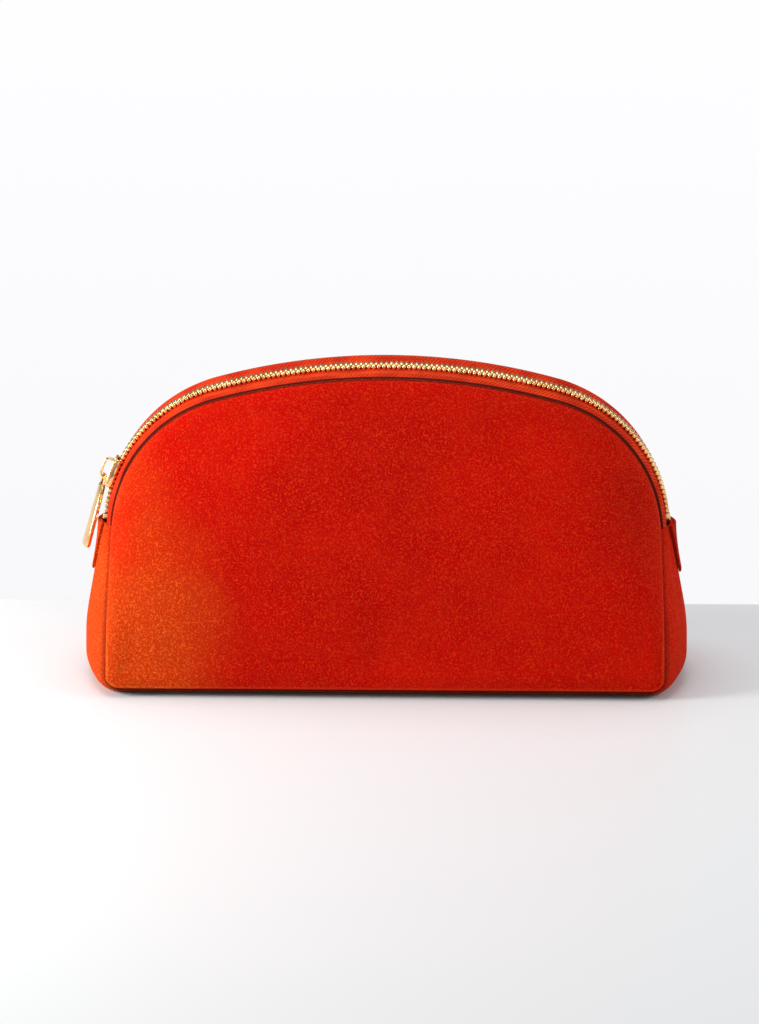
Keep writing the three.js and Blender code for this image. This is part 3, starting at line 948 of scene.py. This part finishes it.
def ringEdges(ring):
    inRing = set(ring)
    return list({edge for vert in ring for edge in vert.link_edges if set(edge.verts) <= inRing})


def archPath():
    half = slider["bridgeHalfLength"] - slider["bridgeThickness"] / 2
    top = slider["plateTo"] + slider["bridgeRise"] + slider["bridgeThickness"] / 2
    foot = slider["plateTo"] - 0.3 * mm
    corner = 1.5 * mm
    path = [(-half, foot), (-half, (foot + top - corner) / 2)]
    for i in range(7):
        turn = math.radians(180 - 15 * i)
        path.append((-half + corner + corner * math.cos(turn), top - corner + corner * math.sin(turn)))
    mirrored = [(-x, z) for x, z in reversed(path)]
    return path + [(0, top + 0.12 * mm)] + mirrored


def makeSlider():
    bm = bmesh.new()
    slab(bm, sliderOutline(), slider["plateFrom"], slider["plateTo"], 0.35 * mm, 3)
    slab(bm, sliderOutline(), slider["lowerFrom"] - 0.2 * mm, slider["lowerTo"] - 0.2 * mm, 0.3 * mm)
    for side in (-1, 1):
        slab(bm, flangeOutline(side), -0.5 * mm, slider["plateFrom"] + 0.3 * mm, 0.12 * mm, 1)
    postFrom = -slider["length"] / 2 + 1.5 * mm
    postTo = postFrom + 2 * mm
    post = [(postFrom, -0.7 * mm), (postTo, -0.45 * mm), (postTo, 0.45 * mm), (postFrom, 0.7 * mm)]
    slab(bm, post, slider["lowerTo"] - 0.4 * mm, slider["plateFrom"] + 0.2 * mm, 0.1 * mm, 1)
    sweepStrip(bm, archPath(), slider["bridgeHalfWidth"], slider["bridgeThickness"] / 2)
    bmesh.ops.transform(bm, matrix=sliderFrame, verts=bm.verts)
    closed(bm)
    piece = objectFrom(bm, "sliderBody")
    piece.data.materials.append(gold)
    place(piece, "slider", "slider_body")


pull = {
    "tilt": math.radians(16),
    "yaw": math.radians(22),
    "eyeBar": 0.8 * mm,
    "eyeHalfWidth": 2.3 * mm,
    "eyeLength": 4.2 * mm,
    "length": 26.8 * mm,
    "topHalf": 2.2 * mm,
    "endHalf": 3.3 * mm,
    "corner": 1.8 * mm,
    "thickness": 1.8 * mm,
}
pullJoint = next(joint for joint in frame["joints"] if joint["name"] == "pull_swing")
pullAt = Vector(pullJoint["pos_m"])


def pullOutline():
    neck = -pull["eyeLength"]
    corner = pull["corner"]
    middle = neck - pull["length"] + corner
    aside = pull["endHalf"] - corner
    turns = [math.radians(-10 * i) for i in range(10)]
    right = [(aside + corner * math.cos(a), middle + corner * math.sin(a)) for a in turns]
    left = [(-x, y) for x, y in reversed(right)]
    return [(pull["topHalf"], neck)] + right + left + [(-pull["topHalf"], neck)]


def makePull():
    bm = bmesh.new()
    half = pull["thickness"] / 2
    slab(bm, pullOutline(), -half, half, 0.5 * mm, 4)
    upright = Matrix(((0, 0, 1), (1, 0, 0), (0, 1, 0))).to_4x4()  # outline's X to Y, its Y to Z
    bmesh.ops.transform(bm, matrix=upright, verts=bm.verts)
    arm = pull["eyeHalfWidth"] - 0.5 * mm
    low = -pull["eyeLength"] - 0.4 * mm
    corner = 0.7 * mm
    path = [(-arm, low)]
    for centre, start in (((-arm + corner, -corner), 180), ((arm - corner, -corner), 90)):
        for i in range(6):
            turn = math.radians(start - 18 * i)
            path.append((centre[0] + corner * math.cos(turn), centre[1] + corner * math.sin(turn)))
    path.append((arm, low))
    eye = bmesh.new()
    sweepStrip(eye, path, 0.5 * mm, 0.45 * mm)
    turned = Matrix(((0, 1, 0), (1, 0, 0), (0, 0, 1))).to_4x4()
    bmesh.ops.transform(eye, matrix=turned, verts=eye.verts)
    spare = bpy.data.meshes.new("eye")
    eye.to_mesh(spare)
    eye.free()
    bm.from_mesh(spare)
    bpy.data.meshes.remove(spare)
    tilted = Matrix.Rotation(pull["tilt"], 4, "Y")
    yawed = Matrix.Rotation(pull["yaw"], 4, "Z")
    hung = Matrix.Translation(pullAt) @ tilted @ yawed
    bmesh.ops.transform(bm, matrix=hung, verts=bm.verts)
    closed(bm)
    piece = objectFrom(bm, "zipPull")
    piece.data.materials.append(gold)
    place(piece, "pull", "zip_pull")


makeSlider()
makePull()

print("end tabs")

tab = {
    "halfWidth": 7.5 * mm,
    "length": 18.5 * mm,
    "off": 0.85 * mm,
    "layer": 0.45 * mm,
    "foldRadius": 0.27 * mm,
    "layerShare": 0.47,  # of the cloth's length that lies in each layer
}


def tabFold(side):  # down the outer layer, round the fold and back up under it
    skin = gussetSkin(side, 2.0 * mm)
    run = (1 - cornerShare) * tab["length"] / (gussetTop - body["sideCorner"])
    layer = tab["layerShare"]
    radius = tab["foldRadius"]

    def point(u, v):
        if v < layer:
            height = 1 - run * v / layer
            lift = radius
        elif v > 1 - layer:
            height = 1 - run * (1 - v) / layer
            lift = -radius
        else:
            turn = math.pi * (v - layer) / (1 - 2 * layer)
            height = 1 - run - radius * math.sin(turn) / (gussetTop / (1 - cornerShare))
            lift = radius * math.cos(turn)
        wide = abs(skin(1, height).y)
        share = 0.5 - side * (tab["halfWidth"] / wide) * (u - 0.5)
        return skin(share, height) + normalOf(skin, share, height) * (tab["off"] + lift)
    return point


def makeTabs():
    for side, name, owner in ((-1, "left", "bag"), (1, "right", "right_tab")):
        skin = tabFold(side)
        piece = clothGrid(name + "EndTab", skin, 24, 80, (0.3, 0.0))
        piece.data.materials.append(shadedTabVelvet)
        cloth(piece, skin, owner, name + "_end_tab")
        thicken(piece, tab["layer"], 0.0)


makeTabs()

print("stage, light and camera")

stage = {
    "tableBackEdge": 90 * mm,
    "tableReach": 0.33,
    "camera": {"elevation": 15.0, "azimuth": 1.3, "distance": 1.15, "lens": 100.7},
    "lookAt": Vector((-2.8 * mm, 0, 64.9 * mm)),
}


def makeFloor():
    bm = bmesh.new()
    bmesh.ops.create_grid(bm, x_segments=1, y_segments=1, size=6)
    floor = objectFrom(bm, "floor", True)
    material, shader = newMaterial("paleTable", 0.3)
    shader.inputs["Specular IOR Level"].default_value = 0.2
    tree = Tree(material)
    where = tree.add("ShaderNodeTexCoord").outputs["Object"]
    depth = tree.add("ShaderNodeSeparateXYZ", {"Vector": where}).outputs["Y"]
    behind = tree.between(depth, stage["tableBackEdge"] - 1 * mm, stage["tableBackEdge"] + 1 * mm)
    reach = tree.add("ShaderNodeVectorMath", {"Vector": where}, operation="LENGTH").outputs["Value"]
    farOff = tree.between(reach, stage["tableReach"], stage["tableReach"] + 0.3)
    behind = tree.sumOf("MAXIMUM", behind, farOff)
    tree.links.new(tree.mixed(behind, (0.67, 0.685, 0.695), (0.0, 0.0, 0.0)), shader.inputs["Base Color"])
    shader.inputs["Emission Color"].default_value = (0.90, 0.895, 0.91, 1)
    tree.links.new(behind, shader.inputs["Emission Strength"])
    floor.data.materials.append(material)


def areaLight(name, at, towards, size, power, colour):
    light = bpy.data.lights.new(name, "AREA")
    light.shape = "DISK"
    light.size = size
    light.energy = power
    light.color = colour
    lamp = bpy.data.objects.new(name, light)
    lamp.location = at
    lamp.rotation_euler = (Vector(towards) - Vector(at)).to_track_quat("-Z", "Y").to_euler()
    bpy.context.scene.collection.objects.link(lamp)


def makeLights():
    areaLight("keyLight", (-0.62, -0.20, 0.26), (-0.07, 0, 0.06), 0.28, 6.0, (1.0, 0.97, 0.93))
    areaLight("topLight", (-0.1, 0.15, 1.1), (0, 0, 0), 0.9, 7.6, (1.0, 1.0, 1.0))
    areaLight("sideFill", (0.75, -0.1, 0.4), (0.05, 0, 0.05), 0.4, 2.2, (1.0, 0.98, 0.96))
    areaLight("frontFill", (0.4, -1.2, 0.7), (0, 0, 0.05), 0.8, 1.5, (0.97, 0.98, 1.0))
    world = bpy.data.worlds.new("studio")
    world.use_nodes = True
    world.node_tree.nodes["Background"].inputs["Color"].default_value = (0.95, 0.96, 1.0, 1)
    world.node_tree.nodes["Background"].inputs["Strength"].default_value = 0.34
    bpy.context.scene.world = world
    bpy.context.scene.view_settings.view_transform = "Standard"


def makeCamera():
    view = stage["camera"]
    lens = bpy.data.cameras.new("camera")
    lens.lens = view["lens"]
    lens.sensor_width = 36
    camera = bpy.data.objects.new("camera", lens)
    up = math.radians(view["elevation"])
    aside = math.radians(view["azimuth"])
    away = Vector((math.sin(aside) * math.cos(up), -math.cos(aside) * math.cos(up), math.sin(up)))
    camera.location = stage["lookAt"] + away * view["distance"]
    camera.rotation_euler = (-away).to_track_quat("-Z", "Y").to_euler()
    bpy.context.scene.collection.objects.link(camera)
    bpy.context.scene.camera = camera


makeFloor()
makeLights()
makeCamera()
